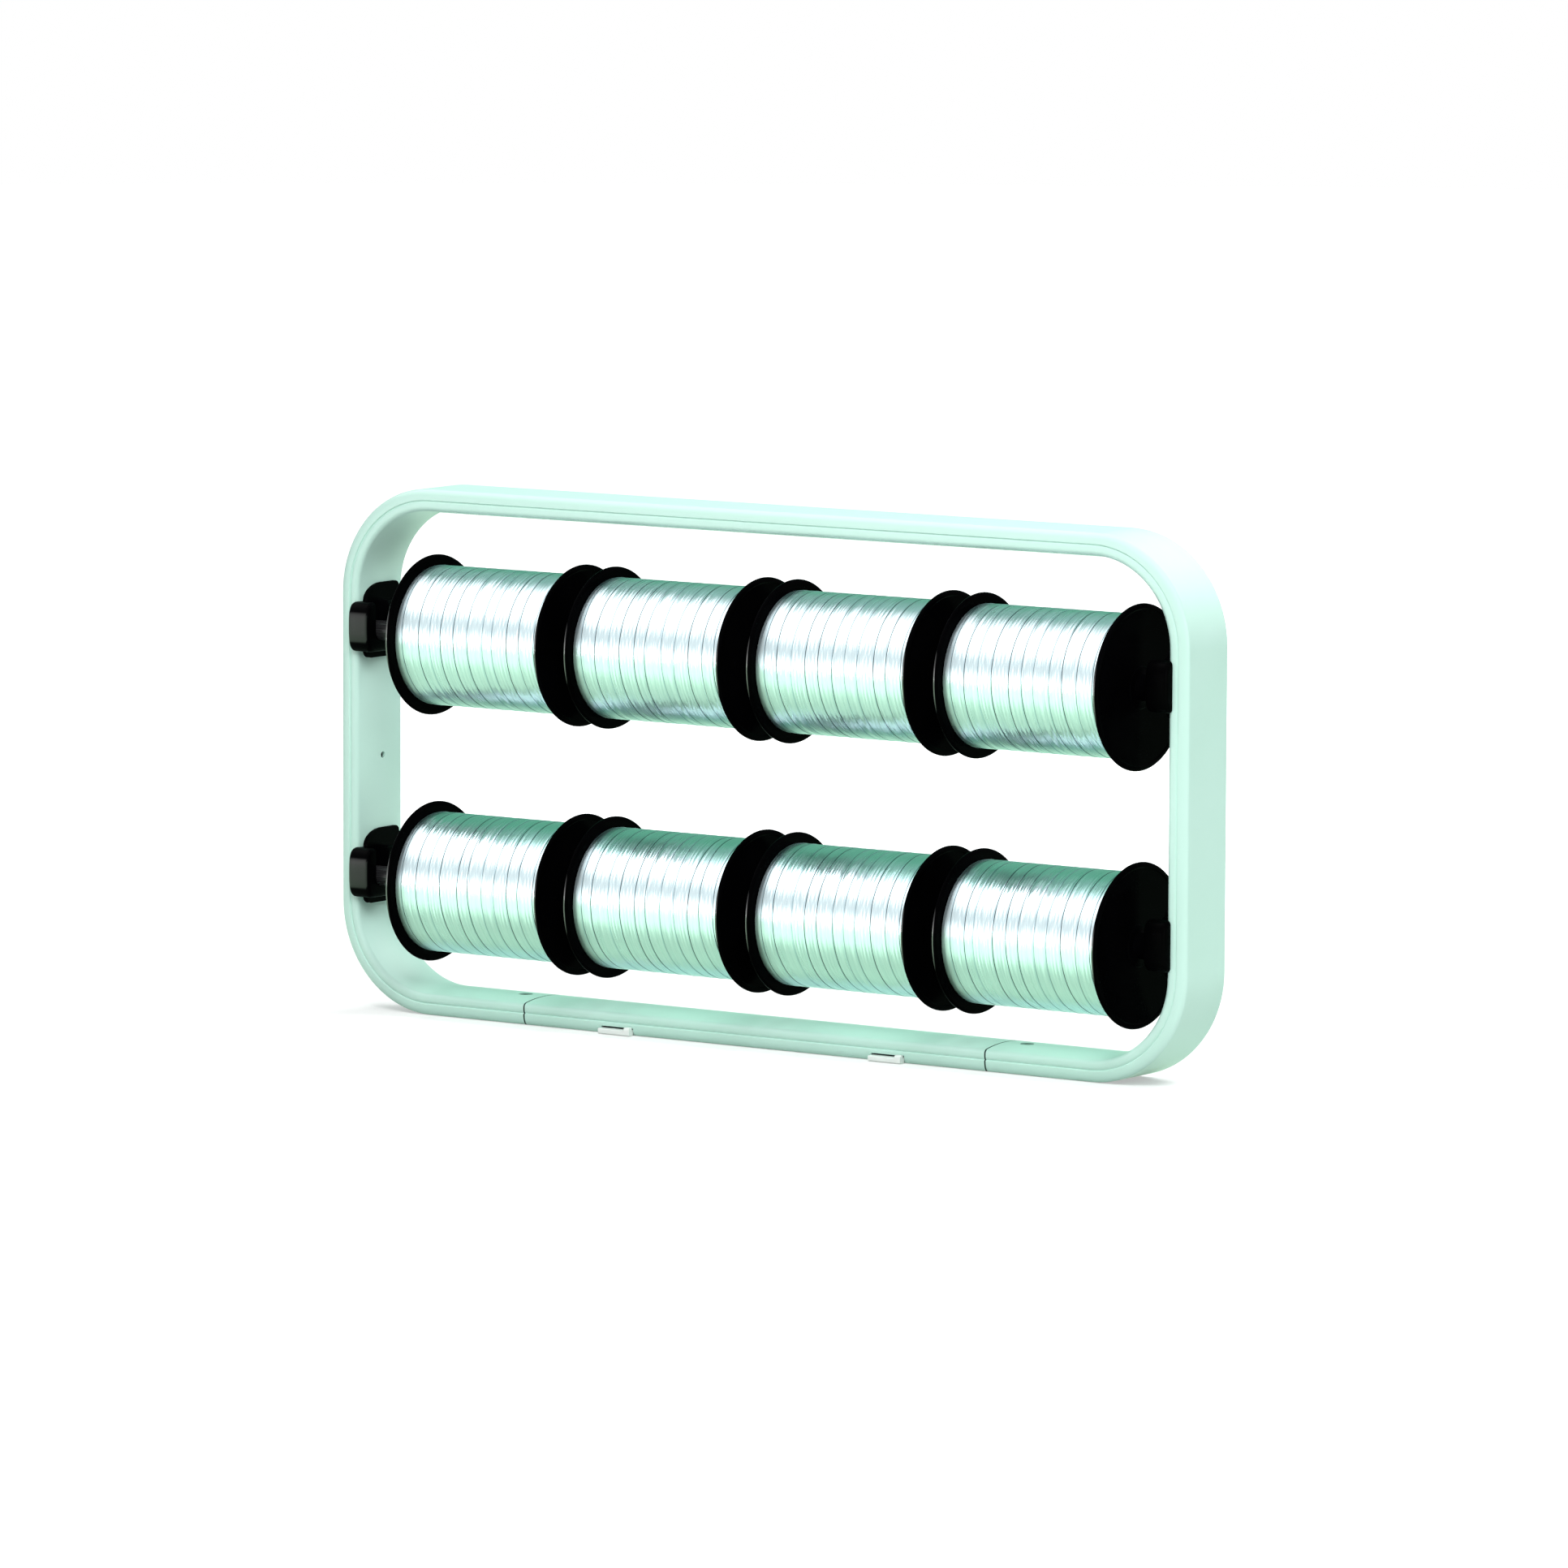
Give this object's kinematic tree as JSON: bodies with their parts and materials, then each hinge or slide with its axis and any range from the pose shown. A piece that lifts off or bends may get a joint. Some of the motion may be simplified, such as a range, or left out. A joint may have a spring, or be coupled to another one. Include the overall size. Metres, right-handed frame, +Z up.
{
  "type": "spool unwinding rack",
  "caption": "Free-standing rounded band frame with lift-out horizontal rods in hooked holders, carrying rows of flanged ribbon reels that turn as the ribbon is drawn off.",
  "frame": {"origin": "middle of the object's box, on the surface that the rack stands on", "axes": "+X along the rods to the right seen from the front, +Y to the back, +Z up"},
  "size_m": [0.6048, 0.0962, 0.3166],
  "materials": {
    "frame_paint": "gloss pale mint paint on a hollow metal band",
    "splice_metal": "plain extruded",
    "screw_steel": "bright plated",
    "white_plastic": "smooth moulded",
    "holder_plastic": "satin moulded black",
    "rod_black": "gloss black coated steel",
    "reel_plastic": "moulded black with polished rims",
    "ribbon_foil": "metallised film ribbon, silver with a faint green and lilac sheen"
  },
  "bodies": {
    "frame": {"frame_loop": "frame_paint", "bottom_insert": "frame_paint", "splice_bar_left": "splice_metal", "splice_screw_left": "screw_steel", "rail_clip_left": "white_plastic", "splice_bar_right": "splice_metal", "splice_screw_right": "screw_steel", "rail_clip_right": "white_plastic", "rod_holder_upper_left": "holder_plastic", "holder_screw_upper_left": "screw_steel", "rod_holder_upper_right": "holder_plastic", "holder_screw_upper_right": "screw_steel", "rod_holder_lower_left": "holder_plastic", "holder_screw_lower_left": "screw_steel", "rod_holder_lower_right": "holder_plastic", "holder_screw_lower_right": "screw_steel"},
    "upper_rod": {"rod_upper": "rod_black"},
    "upper_reel_1": {"reel_upper_1": "reel_plastic", "ribbon_roll_upper_1": "ribbon_foil", "ribbon_layer_upper_1": "ribbon_foil"},
    "upper_reel_2": {"reel_upper_2": "reel_plastic", "ribbon_roll_upper_2": "ribbon_foil", "ribbon_layer_upper_2": "ribbon_foil"},
    "upper_reel_3": {"reel_upper_3": "reel_plastic", "ribbon_roll_upper_3": "ribbon_foil", "ribbon_layer_upper_3": "ribbon_foil"},
    "upper_reel_4": {"reel_upper_4": "reel_plastic", "ribbon_roll_upper_4": "ribbon_foil", "ribbon_layer_upper_4": "ribbon_foil"},
    "lower_rod": {"rod_lower": "rod_black"},
    "lower_reel_1": {"reel_lower_1": "reel_plastic", "ribbon_roll_lower_1": "ribbon_foil", "ribbon_layer_lower_1": "ribbon_foil"},
    "lower_reel_2": {"reel_lower_2": "reel_plastic", "ribbon_roll_lower_2": "ribbon_foil", "ribbon_layer_lower_2": "ribbon_foil"},
    "lower_reel_3": {"reel_lower_3": "reel_plastic", "ribbon_roll_lower_3": "ribbon_foil", "ribbon_layer_lower_3": "ribbon_foil"},
    "lower_reel_4": {"reel_lower_4": "reel_plastic", "ribbon_roll_lower_4": "ribbon_foil", "ribbon_layer_lower_4": "ribbon_foil"}
  },
  "joints": [
    {"name": "upper_rod_lift", "type": "slide", "parent": "frame", "child": "upper_rod", "axis": [0, 0, 1], "range_m": [0, 0.012]},
    {"name": "upper_reel_1_turn", "type": "hinge", "parent": "upper_rod", "child": "upper_reel_1", "pos_m": [0, 0, 0.229], "axis": [1, 0, 0], "continuous": true},
    {"name": "upper_reel_2_turn", "type": "hinge", "parent": "upper_rod", "child": "upper_reel_2", "pos_m": [0, 0, 0.229], "axis": [1, 0, 0], "continuous": true},
    {"name": "upper_reel_3_turn", "type": "hinge", "parent": "upper_rod", "child": "upper_reel_3", "pos_m": [0, 0, 0.229], "axis": [1, 0, 0], "continuous": true},
    {"name": "upper_reel_4_turn", "type": "hinge", "parent": "upper_rod", "child": "upper_reel_4", "pos_m": [0, 0, 0.229], "axis": [1, 0, 0], "continuous": true},
    {"name": "lower_rod_lift", "type": "slide", "parent": "frame", "child": "lower_rod", "axis": [0, 0, 1], "range_m": [0, 0.024]},
    {"name": "lower_reel_1_turn", "type": "hinge", "parent": "lower_rod", "child": "lower_reel_1", "pos_m": [0, 0, 0.0805], "axis": [1, 0, 0], "continuous": true},
    {"name": "lower_reel_2_turn", "type": "hinge", "parent": "lower_rod", "child": "lower_reel_2", "pos_m": [0, 0, 0.0805], "axis": [1, 0, 0], "continuous": true},
    {"name": "lower_reel_3_turn", "type": "hinge", "parent": "lower_rod", "child": "lower_reel_3", "pos_m": [0, 0, 0.0805], "axis": [1, 0, 0], "continuous": true},
    {"name": "lower_reel_4_turn", "type": "hinge", "parent": "lower_rod", "child": "lower_reel_4", "pos_m": [0, 0, 0.0805], "axis": [1, 0, 0], "continuous": true}
  ]
}
